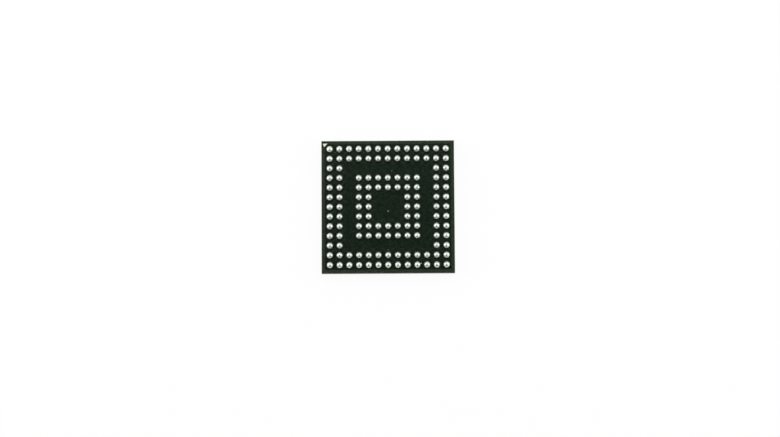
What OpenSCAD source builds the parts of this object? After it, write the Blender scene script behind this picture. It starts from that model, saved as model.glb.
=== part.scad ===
// Ball grid array package, 13 x 13 grid with two outer rows and two inner rows of solder balls.
// It rests on its moulded face, balls up. Origin at the centre of the moulded face, +Z to the balls.
// Ball A1 is at -X +Y. Row letters count along +X, ball numbers count along -Y. Millimetres.

/* [Ball grid] */
// Distance between neighbouring ball centres
pitch = 0.8; // [0.74:0.01:0.86]
// Distance from the outermost ball centres to the package edge
edge_margin = 0.7; // [0.65:0.05:1.2]
// Widest diameter of a solder ball
ball_d = 0.55; // [0.49:0.01:0.61]
// Diameter of the opening in the solder mask over each ball pad
ball_opening_d = 0.45; // [0.36:0.01:0.48]

/* [Moulded body] */
// Height of the moulded cap
mold_h = 0.7; // [0.55:0.01:1.2]

/* [Substrate] */
// Thickness of the laminate core
core_t = 0.2; // [0.1:0.01:0.4]
// Thickness of each copper layer
copper_t = 0.018; // [0.012:0.001:0.035]
// Thickness of the solder mask over the copper
mask_cover_t = 0.02; // [0.012:0.001:0.04]
// Diameter of the copper pad under each ball
ball_pad_d = 0.52; // [0.5:0.01:0.56]
// Width of the short trace from a ball pad to its via
neck_w = 0.1; // [0.06:0.01:0.2]
// Diameter of the copper land round each via
via_land_d = 0.25; // [0.2:0.01:0.28]
// Diameter of each drilled via hole
via_hole_d = 0.15; // [0.1:0.01:0.17]
// Thickness of the copper plated on the wall of a via
via_wall_t = 0.018; // [0.012:0.001:0.03]
// Width of the copper ring that runs round the package edge
rim_w = 0.22; // [0.1:0.01:0.3]
// Distance from the copper ring to the package edge
rim_inset = 0.04; // [0.02:0.01:0.08]
// Gap between the copper ring and the copper of the corner mark
rim_gap = 0.05; // [0.03:0.01:0.08]

/* [Corner mark] */
// Length of the flat side of the bare corner triangle
mark_w = 0.41; // [0.3:0.01:0.5]
// Distance from the flat side of the triangle to its tip
mark_h = 0.31; // [0.25:0.01:0.35]
// Distance along the flat side from its outer end to the tip
mark_tip = 0.13; // [0.05:0.01:0.25]
// Distance from the outer end of the triangle to the package edge beside it
mark_side_inset = 0.1; // [0.1:0.01:0.15]
// Distance from the flat side of the triangle to the package edge along it
mark_edge_inset = 0.2; // [0.1:0.01:0.22]
// Width of plated copper that the mask covers round a bare mark
mark_overlap = 0.03; // [0.01:0.01:0.04]
// Diameter of the bare test spot
spot_d = 0.1; // [0.05:0.01:0.2]
// Distance from the package centre to the test spot
spot_offset = 0.36; // [0.2:0.01:0.5]

/* [Die] */
// Width of the silicon die
die_w = 3.6; // [3.3:0.05:4.2]
// Thickness of the silicon die
die_t = 0.28; // [0.1:0.01:0.35]
// Thickness of the die attach adhesive
attach_t = 0.025; // [0.01:0.005:0.05]
// Width of adhesive that squeezes out past the die
attach_bleed = 0.06; // [0.02:0.01:0.12]
// Distance between neighbouring bond pads on the die
die_pad_pitch = 0.12; // [0.09:0.005:0.125]
// Width of a bond pad on the die
die_pad_w = 0.08; // [0.07:0.005:0.085]
// Thickness of a bond pad on the die
die_pad_t = 0.003; // [0.002:0.001:0.01]
// Distance from the die edge to the middle of the bond pads
die_pad_inset = 0.08; // [0.06:0.01:0.15]

/* [Wires and fingers] */
// Diameter of a bond wire
wire_d = 0.025; // [0.018:0.001:0.033]
// Diameter of the ball bond that starts each wire
ball_bond_d = 0.06; // [0.045:0.005:0.065]
// Height of the ball bond
ball_bond_h = 0.02; // [0.012:0.001:0.03]
// Height of the wire loop over the die
loop_h = 0.13; // [0.09:0.01:0.18]
// Distance from the die edge to the bond fingers
finger_reach = 0.5; // [0.45:0.01:0.55]
// Length of a bond finger
finger_l = 0.3; // [0.2:0.01:0.35]
// Width of a bond finger
finger_w = 0.08; // [0.06:0.005:0.1]
// Distance between neighbouring bond fingers
finger_pitch = 0.16; // [0.13:0.005:0.17]
// Width of a trace on the die side
trace_w = 0.04; // [0.025:0.005:0.05]
// Width of bare ground that the mask window leaves round the fingers
window_gap = 0.05; // [0.03:0.01:0.06]

/* [Hidden] */

// Balls along a side of the full grid, and along a side of its middle block
grid_count = 13;
block_count = 7;

// Rings of balls, each named by its distance from the centre ball in steps of the grid
outer_ring = (grid_count - 1) / 2;
inner_ring = (block_count - 1) / 2;
rings = [outer_ring, outer_ring - 1, inner_ring, inner_ring - 1];

body_w = 2 * outer_ring * pitch + 2 * edge_margin;

// Heights, from the moulded face up
z_mask_low = mold_h;
z_copper_low = z_mask_low + mask_cover_t;
z_core = z_copper_low + copper_t;
z_copper_high = z_core + core_t;
z_mask_high = z_copper_high + copper_t;
z_top = z_mask_high + mask_cover_t;
z_die_back = mold_h - attach_t;
z_die_face = z_die_back - die_t;
z_pad_face = z_die_face - die_pad_t;

// A ball is a sphere that the rim of its mask opening cuts
ball_r = ball_d / 2;
ball_rise = sqrt(pow(ball_r, 2) - pow(ball_opening_d / 2, 2));
via_bore_d = via_hole_d - 2 * via_wall_t;

// The corner triangle: the outer end of its flat side, its tip and the inner end.
// Scaled about the middle of its inscribed circle, its three sides move out alike.
mark_corners = [for (c = [[0, 0], [mark_tip, -mark_h], [mark_w, 0]])
    [mark_side_inset - body_w / 2, body_w / 2 - mark_edge_inset] + c];
mark_sides = [for (i = [0:2]) norm(mark_corners[(i + 1) % 3] - mark_corners[(i + 2) % 3])];
mark_round = mark_sides * [1, 1, 1];
mark_middle = mark_sides * mark_corners / mark_round;
mark_inner_r = mark_w * mark_h / mark_round;
function mark_outline(grow) = [for (c = mark_corners)
    mark_middle + (c - mark_middle) * (1 + grow / mark_inner_r)];
mark_copper = mark_outline(mark_overlap);

// The ring of copper leaves this square clear at the corner of the mark
clear_w = rim_gap + body_w / 2 + max(mark_copper[2][0], -mark_copper[1][1]);

// One side of the package holds these nets. A net is [via column, via ring, gate column]:
// its trace crosses the ring of vias in front at the gate, and a net with no gate ends in that ring.
// Three nets share the first gate of the outer rings, a fifth of the pitch apart.
outer_far = outer_ring - 0.5;
outer_near = outer_ring - 1.5;
inner_far = inner_ring - 0.5;
inner_near = inner_ring - 1.5;
gate_step = 0.2;
crowded_gate = 0.5 - outer_near;
outward_nets = concat(
    [[-outer_near, outer_near, undef]],
    [for (k = [-1:1]) [crowded_gate - 0.5 + k, outer_far, crowded_gate + k * gate_step]],
    [for (v = [1 - outer_near:outer_near - 1]) each [
        [v, outer_near, undef],
        [v + 1, outer_far, v + 0.5]]]);
inward_nets = concat(
    [for (v = [-inner_far:inner_near - 2]) each [
        [v, inner_far, undef],
        [v + 1, inner_near, v + 0.5]]],
    [for (v = [inner_near - 1:inner_far - 1]) [v, inner_far, undef]]);
net_count = len(outward_nets) + len(inward_nets);

// Fingers, counted from left to right. Each inward net takes the finger over its way in,
// and the outward nets share out the rest in order.
finger_in = die_w / 2 + finger_reach;
finger_out = finger_in + finger_l;
first_slot = (1 - net_count) / 2;
function entry(net) = (is_undef(net[2]) ? net[0] : net[2]) * pitch;
inward_fingers = [for (net = inward_nets) floor(entry(net) / finger_pitch - first_slot + 0.5)];
outward_fingers = [for (i = [0:net_count - 1]) if (!in_list(i, inward_fingers)) i];
function in_list(value, list) = len([for (item = list) if (item == value) item]) > 0;
function finger_x(i) = (i + first_slot) * finger_pitch;
function die_pad_x(i) = (i + first_slot) * die_pad_pitch;
die_pad_y = die_w / 2 - die_pad_inset;
// Share of the ball bond's height that the wire's end lies deep in it
bond_bite = 0.75;
// Degrees of arch that the wire is drawn past its landing before it is cut off
landing_overrun = 4;
fan_y = (outer_near - 0.25) * pitch;
past_gate_y = (outer_near + 0.25) * pitch;

// Corners of the route of each net on the die side, from its finger to its via
function via_point(net) = [net[0] * pitch, net[1] * pitch];
function outward_route(net, i) = concat(
    [[finger_x(i), finger_out - finger_w / 2], [finger_x(i), finger_out], [entry(net), fan_y]],
    is_undef(net[2]) ? [] : [[entry(net), past_gate_y]],
    [via_point(net)]);
function inward_route(net, i) = concat(
    [[finger_x(i), finger_in + finger_w / 2], [finger_x(i), finger_in]],
    is_undef(net[2]) ? [] : [[entry(net), inner_far * pitch]],
    [via_point(net)]);

// Outline of a strip of even width along a list of points, with mitred corners
function unit(v) = v / norm(v);
function left_of(v) = [-v[1], v[0]];
function mitre(a, b, c) = let (n = left_of(unit(b - a)), m = left_of(unit(c - b))) (n + m) / (1 + n * m);
function edge_shift(p, i) =
    i == 0 ? left_of(unit(p[1] - p[0])) :
    i == len(p) - 1 ? left_of(unit(p[i] - p[i - 1])) :
    mitre(p[i - 1], p[i], p[i + 1]);
function strip(p, w) = concat(
    [for (i = [0:len(p) - 1]) p[i] - edge_shift(p, i) * w / 2],
    [for (i = [len(p) - 1:-1:0]) p[i] + edge_shift(p, i) * w / 2]);

// Small shift that makes a cut run clean through a face
clean = 0.01;

module each_side() {
    for (side = [0:3]) rotate(-90 * side) children();
}

module slab(z, t) {
    translate([0, 0, z]) linear_extrude(t) children();
}

module at_vias() {
    each_side()
        for (net = concat(outward_nets, inward_nets)) translate(via_point(net)) children();
}

module at_balls() {
    each_side()
        for (ring = rings, k = [-ring:ring - 1]) translate([k * pitch, ring * pitch]) children();
}

module square_ring(outer, inner) {
    difference() {
        square(2 * outer, center = true);
        square(2 * inner, center = true);
    }
}

// ---- outlines of the copper and mask layers ----

module land() {
    circle(d = via_land_d, $fn = 32);
}

module dog_bone() {
    circle(d = ball_pad_d, $fn = 48);
    polygon(strip([[0, 0], [pitch / 2, -pitch / 2]], neck_w));
    translate([pitch / 2, -pitch / 2]) land();
}

module finger(i) {
    translate([finger_x(i) - finger_w / 2, finger_in]) square([finger_w, finger_l]);
}

module die_side_nets() {
    for (i = [0:net_count - 1]) finger(i);
    for (n = [0:len(outward_nets) - 1])
        polygon(strip(outward_route(outward_nets[n], outward_fingers[n]), trace_w));
    for (n = [0:len(inward_nets) - 1])
        polygon(strip(inward_route(inward_nets[n], inward_fingers[n]), trace_w));
    for (net = concat(outward_nets, inward_nets)) translate(via_point(net)) land();
}

module die_side_artwork() {
    difference() {
        each_side() die_side_nets();
        at_vias() circle(d = via_bore_d, $fn = 32);
    }
}

module corner_triangle(grow) {
    polygon(mark_outline(grow));
}

module spot(grow) {
    translate([0, -spot_offset]) circle(d = spot_d + 2 * grow, $fn = 32);
}

module rim() {
    difference() {
        square_ring(body_w / 2 - rim_inset, body_w / 2 - rim_inset - rim_w);
        translate([-body_w / 2, body_w / 2 - clear_w]) square(clear_w);
    }
}

module ball_side_artwork() {
    rim();
    difference() {
        each_side()
            for (ring = rings, k = [-ring:ring - 1]) translate([k * pitch, ring * pitch]) dog_bone();
        at_vias() circle(d = via_bore_d, $fn = 32);
    }
}

module finger_window() {
    square_ring(finger_out + window_gap, finger_in - window_gap);
}

// ---- the pieces ----

// Moulding compound fills every space round the die and its wires, down to the fingers
module mold_cap() {
    color([0.11, 0.11, 0.115]) difference() {
        union() {
            slab(0, mold_h) square(body_w, center = true);
            slab(z_mask_low - clean, mask_cover_t + clean) finger_window();
            slab(z_copper_low - clean, copper_t + clean) difference() {
                finger_window();
                die_side_artwork();
            }
        }
        slab(z_die_back - clean, attach_t + 2 * clean)
            square(die_w + 2 * attach_bleed, center = true);
        slab(z_die_face, die_t) square(die_w, center = true);
        die_pad_plates();
        each_side() wires();
    }
}

module silicon_die() {
    color([0.35, 0.36, 0.4]) slab(z_die_face, die_t) square(die_w, center = true);
}

module die_pad_plates() {
    slab(z_pad_face, die_pad_t) each_side()
        for (i = [0:net_count - 1]) translate([die_pad_x(i), die_pad_y]) square(die_pad_w, center = true);
}

module die_bond_pads() {
    color([0.85, 0.85, 0.87]) die_pad_plates();
}

module die_attach() {
    color([0.78, 0.76, 0.7]) slab(z_die_back, attach_t)
        square(die_w + 2 * attach_bleed, center = true);
}

// A wire rises from its ball bond in one round arch and comes down on its finger.
// In the plane of the arch, x runs to the finger and y runs away from the substrate.
module wire(i) {
    start = [die_pad_x(i), die_pad_y];
    end = [finger_x(i), (finger_in + finger_out) / 2];
    run = norm(end - start);
    drop = z_copper_low - z_pad_face;
    // The arch passes through the start, the finger and a top at loop_h
    b = run * loop_h;
    s = sqrt(loop_h * (loop_h + drop) * (pow(drop, 2) + pow(run, 2)));
    peak_x = (s - b) / drop;
    peak_y = loop_h;
    arch_r = (pow(peak_x, 2) + pow(peak_y, 2)) / (2 * peak_y);
    centre_y = peak_y - arch_r;
    // It starts inside its ball bond and is cut off flat where it lands
    start_angle = atan2(-centre_y, -peak_x) - bond_bite * ball_bond_h / arch_r * 180 / PI;
    end_angle = atan2(-drop - centre_y, run - peak_x) - landing_overrun;
    translate([start[0], start[1], z_pad_face]) {
        translate([0, 0, -ball_bond_h]) cylinder(d = ball_bond_d, h = ball_bond_h, $fn = 24);
        intersection() {
            rotate([0, 0, atan2(end[1] - start[1], end[0] - start[0])])
                translate([peak_x, 0, -centre_y])
                    rotate([-90, 0, 0])
                        rotate_extrude(angle = start_angle - end_angle, start = end_angle, $fn = 72)
                            translate([arch_r, 0]) circle(d = wire_d, $fn = 16);
            translate([-body_w, -body_w, -2 * loop_h])
                cube([2 * body_w, 2 * body_w, 2 * loop_h + drop]);
        }
    }
}

module wires() {
    for (i = [0:net_count - 1]) wire(i);
}

module bond_wires(side) {
    color([0.93, 0.76, 0.35]) rotate(-90 * side) wires();
}

module die_side_solder_mask() {
    color([0.13, 0.19, 0.12]) union() {
        slab(z_mask_low, mask_cover_t) difference() {
            square(body_w, center = true);
            finger_window();
        }
        slab(z_copper_low, copper_t) difference() {
            square(body_w, center = true);
            finger_window();
            die_side_artwork();
            at_vias() circle(d = via_bore_d, $fn = 32);
        }
    }
}

module die_side_copper() {
    color([0.85, 0.52, 0.3]) slab(z_copper_low, copper_t) die_side_artwork();
}

module substrate_core() {
    color([0.42, 0.45, 0.3]) slab(z_core, core_t) difference() {
        square(body_w, center = true);
        at_vias() circle(d = via_hole_d, $fn = 32);
    }
}

module via_barrels() {
    color([0.8, 0.47, 0.26]) slab(z_core, core_t) at_vias() difference() {
        circle(d = via_hole_d, $fn = 32);
        circle(d = via_bore_d, $fn = 32);
    }
}

module ball_side_copper() {
    color([0.85, 0.52, 0.3]) slab(z_copper_high, copper_t) ball_side_artwork();
}

// The mask lies over and between the copper and plugs every via
module ball_side_solder_mask() {
    color([0.1, 0.14, 0.1]) union() {
        slab(z_copper_low, z_mask_high + clean - z_copper_low)
            at_vias() circle(d = via_bore_d, $fn = 32);
        slab(z_copper_high, copper_t) difference() {
            square(body_w, center = true);
            ball_side_artwork();
            corner_triangle(mark_overlap);
            spot(mark_overlap);
        }
        slab(z_mask_high, mask_cover_t) difference() {
            square(body_w, center = true);
            at_balls() circle(d = ball_opening_d, $fn = 48);
            corner_triangle(0);
            spot(0);
        }
    }
}

module corner_mark() {
    color([0.98, 0.96, 0.8]) slab(z_copper_high, copper_t) corner_triangle(mark_overlap);
}

module test_spot() {
    color([0.95, 0.85, 0.55]) slab(z_copper_high, copper_t) spot(mark_overlap);
}

// A reflowed ball: a sphere above the mask and a round foot in the opening, down to the pad
module solder_ball() {
    rotate_extrude($fn = 64) intersection() {
        union() {
            translate([0, mask_cover_t + ball_rise]) circle(r = ball_r, $fn = 64);
            square([ball_opening_d / 2, mask_cover_t + ball_rise]);
        }
        square([ball_d, mask_cover_t + ball_rise + ball_d]);
    }
}

function has_ball(column, row) = in_list(max(abs(column), abs(row)), rings);

module balls_row(column) {
    color([0.86, 0.87, 0.88])
        for (row = [-outer_ring:outer_ring]) if (has_ball(column, row))
            translate([column * pitch, row * pitch, z_mask_high]) solder_ball();
}

mold_cap();
silicon_die();
die_bond_pads();
die_attach();
bond_wires(0);  // bond_wires_north
bond_wires(1);  // bond_wires_east
bond_wires(2);  // bond_wires_south
bond_wires(3);  // bond_wires_west
die_side_solder_mask();
die_side_copper();
substrate_core();
via_barrels();
ball_side_copper();
ball_side_solder_mask();
corner_mark();
test_spot();
balls_row(-outer_ring);  // balls_row_a
balls_row(1 - outer_ring);  // balls_row_b
balls_row(2 - outer_ring);  // balls_row_c
balls_row(3 - outer_ring);  // balls_row_d
balls_row(4 - outer_ring);  // balls_row_e
balls_row(5 - outer_ring);  // balls_row_f
balls_row(6 - outer_ring);  // balls_row_g
balls_row(7 - outer_ring);  // balls_row_h
balls_row(8 - outer_ring);  // balls_row_j
balls_row(9 - outer_ring);  // balls_row_k
balls_row(10 - outer_ring);  // balls_row_l
balls_row(11 - outer_ring);  // balls_row_m
balls_row(12 - outer_ring);  // balls_row_n
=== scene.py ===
"""A ball grid array chip that lies balls up: solder mask with its relief, reflowed balls, moulded body."""

import logging
import math
import random
from collections.abc import Callable
from dataclasses import dataclass
from enum import Enum
from functools import cached_property

import bpy
from mathutils import Matrix, Vector, geometry, noise


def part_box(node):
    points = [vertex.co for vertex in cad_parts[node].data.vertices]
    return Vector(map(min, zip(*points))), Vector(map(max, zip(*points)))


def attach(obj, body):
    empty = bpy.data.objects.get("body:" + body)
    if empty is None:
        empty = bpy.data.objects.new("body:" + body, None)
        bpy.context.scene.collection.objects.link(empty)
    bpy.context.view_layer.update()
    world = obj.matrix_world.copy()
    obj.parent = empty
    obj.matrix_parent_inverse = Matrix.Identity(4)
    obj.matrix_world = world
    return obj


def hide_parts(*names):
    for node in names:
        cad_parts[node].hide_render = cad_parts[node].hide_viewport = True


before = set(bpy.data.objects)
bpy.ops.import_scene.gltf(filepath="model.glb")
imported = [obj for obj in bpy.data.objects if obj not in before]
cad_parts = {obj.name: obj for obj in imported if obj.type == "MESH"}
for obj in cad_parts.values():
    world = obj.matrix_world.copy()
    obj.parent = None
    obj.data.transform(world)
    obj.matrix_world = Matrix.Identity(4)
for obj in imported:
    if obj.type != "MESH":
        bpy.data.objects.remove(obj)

MM = 0.001
# Two points nearer than this count as one, in a triangulation and along an edge.
MERGE_MM = 1e-5
SAME_MM = 1e-4
# Shared points are told apart by this many places a millimetre.
KEYS_PER_MM = 1e4
# A noise texture's value stays near its middle, so finishes stretch these parts of its range.
NOISE_LOW, NOISE_HIGH = 0.3, 0.7
SHADE_LOW, SHADE_HIGH = 0.35, 0.65
RESIN_IOR = 1.5

Span = tuple[float, float]
Point = tuple[float, float]
Place = tuple[float, float, float]
Size = tuple[float, float, float]
Colour = tuple[float, float, float]
Outline = list[Point]
Face = tuple[int, ...]

log = logging.getLogger("bga_chip")


# ---------------------------------------------------------------- plane geometry


def spread(low: float, high: float, steps: int) -> list[float]:
    """Values at even steps from low to high, both ends included."""
    return [low + (high - low) * i / steps for i in range(steps + 1)]


def turns(count: int) -> list[float]:
    """Angles at even steps round a full turn, in radians."""
    return spread(0.0, 2 * math.pi, count)[:-1]


def circle(centre: Point, r: float, count: int) -> Outline:
    """Points round a circle, counter-clockwise."""
    return [(centre[0] + r * math.cos(a), centre[1] + r * math.sin(a)) for a in turns(count)]


def middle(points: list[Vector]) -> Point:
    """The middle of some points in the plane."""
    return (sum(q.x for q in points) / len(points), sum(q.y for q in points) / len(points))


def smooth_step(t: float) -> float:
    """An even rise from 0 to 1 as t goes from 0 to 1, flat at both ends."""
    t = min(max(t, 0.0), 1.0)
    return t * t * (3 - 2 * t)


def triangulate(loops: list[Outline], loose: list[Point]) -> tuple[list[Vector], list[Face]]:
    """Fills the hull of some outlines with triangles.

    Args:
        loops: closed outlines, whose sides the triangles keep.
        loose: further points that the triangles meet.

    Returns:
        The points, and the triangles over them by number, counter-clockwise.
    """
    points: list[Point] = []
    sides: list[tuple[int, int]] = []
    for loop in loops:
        start = len(points)
        points += loop
        sides += [(start + k, start + (k + 1) % len(loop)) for k in range(len(loop))]
    points += loose
    verts, _, tris, _, _, _ = geometry.delaunay_2d_cdt([Vector(q) for q in points], sides, [], 0, MERGE_MM)
    return verts, tris


@dataclass(frozen=True)
class Triangle:
    """A triangle in millimetres, with its corners counter-clockwise."""

    corners: tuple[Point, Point, Point]

    def sides(self) -> list[tuple[Point, Point]]:
        """The three sides, each from its start to its end."""
        return [(self.corners[i - 1], self.corners[i]) for i in range(3)]

    def distance(self, x: float, y: float) -> float:
        """Distance of a point from the triangle, below 0 inside it.

        Args:
            x: the place along X.
            y: the place along Y.

        Returns:
            The distance in millimetres.
        """
        return max(
            ((x - ax) * (by - ay) - (y - ay) * (bx - ax)) / math.dist((ax, ay), (bx, by))
            for (ax, ay), (bx, by) in self.sides()
        )

    def grown(self, by: float) -> "Triangle":
        """Moves the three sides out alike.

        Args:
            by: how far they move, or in where it is below 0.

        Returns:
            The triangle, scaled about the middle of its inscribed circle.
        """
        facing = [math.dist(self.corners[i - 2], self.corners[i - 1]) for i in range(3)]
        mx, my = (sum(f * c[k] for f, c in zip(facing, self.corners)) / sum(facing) for k in (0, 1))
        scale = 1 - by / self.distance(mx, my)
        a, b, c = ((mx + (x - mx) * scale, my + (y - my) * scale) for x, y in self.corners)
        return Triangle((a, b, c))


# ---------------------------------------------------------------- sizes and the grid


@dataclass(frozen=True)
class PackageSizes:
    """Sizes of the package in millimetres, read from the frame."""

    half_w: float
    pitch: float
    ball_r: float
    tip_z: float
    mask_top: float
    copper_top: float
    core_top: float
    plug_low: float
    mark: Triangle

    @classmethod
    def read(cls) -> "PackageSizes":
        """Reads the sizes from the frame's nodes.

        Returns:
            The sizes, in millimetres.
        """
        mask_low, mask_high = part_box("ball_side_solder_mask")
        first_low, first_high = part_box("balls_row_a")
        next_low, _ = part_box("balls_row_b")
        _, copper_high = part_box("ball_side_copper")
        _, core_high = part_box("substrate_core")
        mark_low, mark_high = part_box("corner_mark")
        mark_tip = min((v.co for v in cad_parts["corner_mark"].data.vertices), key=lambda co: co.y)
        mark = ((mark_low[0], mark_high[1]), (mark_tip.x, mark_low[1]), (mark_high[0], mark_high[1]))
        a, b, c = ((x / MM, y / MM) for x, y in mark)
        return cls(
            half_w=mask_high[0] / MM,
            pitch=(next_low[0] - first_low[0]) / MM,
            ball_r=(first_high[0] - first_low[0]) / 2 / MM,
            tip_z=first_high[2] / MM,
            mask_top=mask_high[2] / MM,
            copper_top=copper_high[2] / MM,
            core_top=core_high[2] / MM,
            plug_low=mask_low[2] / MM,
            mark=Triangle((a, b, c)),
        )

    @property
    def ball_rise(self) -> float:
        """Height of a ball's middle over the mask."""
        return self.tip_z - self.ball_r - self.mask_top

    @property
    def opening_r(self) -> float:
        """Radius of the mask opening round a ball's foot."""
        return math.sqrt(self.ball_r**2 - self.ball_rise**2)

    @property
    def via_reach(self) -> float:
        """Distance from a ball's middle to its via's, half a pitch away both ways."""
        return math.hypot(0.5, 0.5) * self.pitch


class Side(Enum):
    """A side of the package, with the diagonal way from its balls to their vias."""

    NORTH = (1, -1)
    EAST = (-1, -1)
    SOUTH = (-1, 1)
    WEST = (1, 1)

    def neck_way(self) -> Point:
        """The way to the via, one unit long."""
        return (self.value[0] / math.sqrt(2), self.value[1] / math.sqrt(2))


@dataclass(frozen=True)
class BallGrid:
    """Which places of the full grid hold a ball, and where the vias lie, in steps of the grid."""

    reach: int = 6
    rings: tuple[int, ...] = (6, 5, 3, 2)
    letters: str = "abcdefghjklmn"

    def span(self) -> range:
        """The numbers of the columns, and of the rows. The middle one is 0."""
        return range(-self.reach, self.reach + 1)

    def has_ball(self, column: int, row: int) -> bool:
        """True if a ball stands at this place."""
        return max(abs(column), abs(row)) in self.rings

    def places(self) -> list[tuple[int, int]]:
        """All places that hold a ball, as (column, row)."""
        return [(c, r) for c in self.span() for r in self.span() if self.has_ball(c, r)]

    def side(self, column: int, row: int) -> Side:
        """The side of the package that a ball belongs to.

        Args:
            column: the ball's column.
            row: the ball's row.

        Returns:
            The side, taken clockwise from the ring's corner.
        """
        ring = max(abs(column), abs(row))
        if row == ring and column < ring:
            return Side.NORTH
        if column == ring and row > -ring:
            return Side.EAST
        if row == -ring and column > -ring:
            return Side.SOUTH
        return Side.WEST

    def via(self, column: int, row: int) -> Point:
        """The place of the via that a ball's neck leads to."""
        way = self.side(column, row).value
        return (column + way[0] / 2, row + way[1] / 2)

    @cached_property
    def vias(self) -> set[Point]:
        """The places of all vias. Two balls at a ring's corner share one."""
        return {self.via(c, r) for c, r in self.places()}


# ---------------------------------------------------------------- shader graphs and finishes


class ShaderGraph:
    """The node tree of one material, with short ways to add and join nodes."""

    def __init__(self, name: str) -> None:
        """Makes a material with a Principled shader on its surface.

        Args:
            name: the material's name.
        """
        self.material = bpy.data.materials.new(name)
        self.material.use_nodes = True
        self.tree = self.material.node_tree
        self.tree.nodes.clear()
        self.output = self.tree.nodes.new("ShaderNodeOutputMaterial")
        self.surface = self.tree.nodes.new("ShaderNodeBsdfPrincipled")
        self.tree.links.new(self.surface.outputs["BSDF"], self.output.inputs["Surface"])
        self.place = self.tree.nodes.new("ShaderNodeTexCoord").outputs["Object"]

    def add(
        self, kind: str, inputs: dict[str | int, object] | None = None, **settings: object
    ) -> bpy.types.Node:
        """Adds a node.

        Args:
            kind: the node's type name.
            inputs: values for its sockets, by name or number. A socket value is linked instead.
            settings: values for its own properties.

        Returns:
            The new node.
        """
        node = self.tree.nodes.new(kind)
        for key, value in settings.items():
            setattr(node, key, value)
        for key, value in (inputs or {}).items():
            if isinstance(value, bpy.types.NodeSocket):
                self.tree.links.new(value, node.inputs[key])
            else:
                node.inputs[key].default_value = value
        return node

    def set(self, **values: object) -> None:
        """Sets sockets of the Principled shader.

        Args:
            values: their values, by name with _ for a space. A socket value is linked instead.
        """
        for key, value in values.items():
            socket = self.surface.inputs[key.replace("_", " ")]
            if isinstance(value, bpy.types.NodeSocket):
                self.tree.links.new(value, socket)
            elif isinstance(value, tuple) and len(value) == 3:
                socket.default_value = (*value, 1.0)
            else:
                socket.default_value = value

    def cover(self, shader: bpy.types.NodeSocket) -> None:
        """Puts another shader on the surface in place of the Principled one."""
        self.tree.nodes.remove(self.surface)
        self.tree.links.new(shader, self.output.inputs["Surface"])

    def noise(self, per_mm: float, detail: float = 3.0, stretch: Size = (1, 1, 1)) -> bpy.types.NodeSocket:
        """A noise value.

        Args:
            per_mm: how many of its features fit in a millimetre.
            detail: how many finer layers it has.
            stretch: a factor on its scale along each axis.

        Returns:
            The socket with the value, mostly between NOISE_LOW and NOISE_HIGH.
        """
        place = self.add("ShaderNodeMapping", {"Vector": self.place, "Scale": stretch})
        return self.add(
            "ShaderNodeTexNoise",
            {"Vector": place.outputs["Vector"], "Scale": per_mm / MM, "Detail": detail},
        ).outputs["Fac"]

    def between(self, value: bpy.types.NodeSocket, low: float, high: float) -> bpy.types.NodeSocket:
        """Stretches a noise value's usual range to run from low to high."""
        ends = {"From Min": NOISE_LOW, "From Max": NOISE_HIGH, "To Min": low, "To Max": high}
        return self.add("ShaderNodeMapRange", {"Value": value, **ends}).outputs["Result"]

    def shades(self, value: bpy.types.NodeSocket, low: Colour, high: Colour) -> bpy.types.NodeSocket:
        """A colour between two shades.

        Args:
            value: the noise value that leads it.
            low: the colour where the value is low.
            high: the colour where it is high.

        Returns:
            The socket with the colour.
        """
        ramp = self.add("ShaderNodeValToRGB", {"Fac": value})
        ends = zip(ramp.color_ramp.elements, (SHADE_LOW, SHADE_HIGH), (low, high))
        for element, position, colour in ends:
            element.position = position
            element.color = (*colour, 1.0)
        return ramp.outputs["Color"]

    def bump(self, value: bpy.types.NodeSocket, depth_mm: float) -> bpy.types.NodeSocket:
        """Normals that raise and sink the surface by a value, depth_mm deep."""
        return self.add("ShaderNodeBump", {"Height": value, "Distance": depth_mm * MM}).outputs["Normal"]


@dataclass(frozen=True)
class MaskFinish:
    """Printed solder mask: a satin green film, lighter where copper lies under it. Two of its finishes are
    lighter still by painted light: a painted sheen and a painted highlight.
    """

    name: str
    dark: Colour
    light: Colour
    roughness: Span = (0.24, 0.31)
    cloud_per_mm: float = 3.2
    peel_per_mm: float = 9.0
    peel_mm: float = 0.0015

    def material(self) -> bpy.types.Material:
        """Makes the material, with mottled colour and a fine orange peel.

        Returns:
            The material.
        """
        g = ShaderGraph(self.name)
        cloud = g.noise(self.cloud_per_mm, detail=4)
        g.set(Base_Color=g.shades(cloud, self.dark, self.light), IOR=RESIN_IOR, Metallic=0.0)
        g.set(Roughness=g.between(g.noise(self.peel_per_mm), *self.roughness))
        g.set(Normal=g.bump(g.noise(self.peel_per_mm, detail=2), self.peel_mm))
        return g.material


@dataclass(frozen=True)
class MetalFinish:
    """Metal, or a dull film of much the same grain, with fine uneven colour."""

    name: str
    dark: Colour
    light: Colour
    roughness: Span
    grain_per_mm: float = 20.0
    depth_mm: float = 0.002
    metallic: float = 1.0
    grains_a_shade: float = 3.0
    grains_a_gloss: float = 2.0

    def material(self) -> bpy.types.Material:
        """Makes the material, with colour and gloss that vary more coarsely than its grain.

        Returns:
            The material.
        """
        g = ShaderGraph(self.name)
        shade = g.noise(self.grain_per_mm / self.grains_a_shade)
        gloss = g.noise(self.grain_per_mm / self.grains_a_gloss)
        g.set(Base_Color=g.shades(shade, self.dark, self.light), Metallic=self.metallic)
        g.set(Roughness=g.between(gloss, *self.roughness))
        g.set(Normal=g.bump(g.noise(self.grain_per_mm), self.depth_mm))
        return g.material


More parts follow.
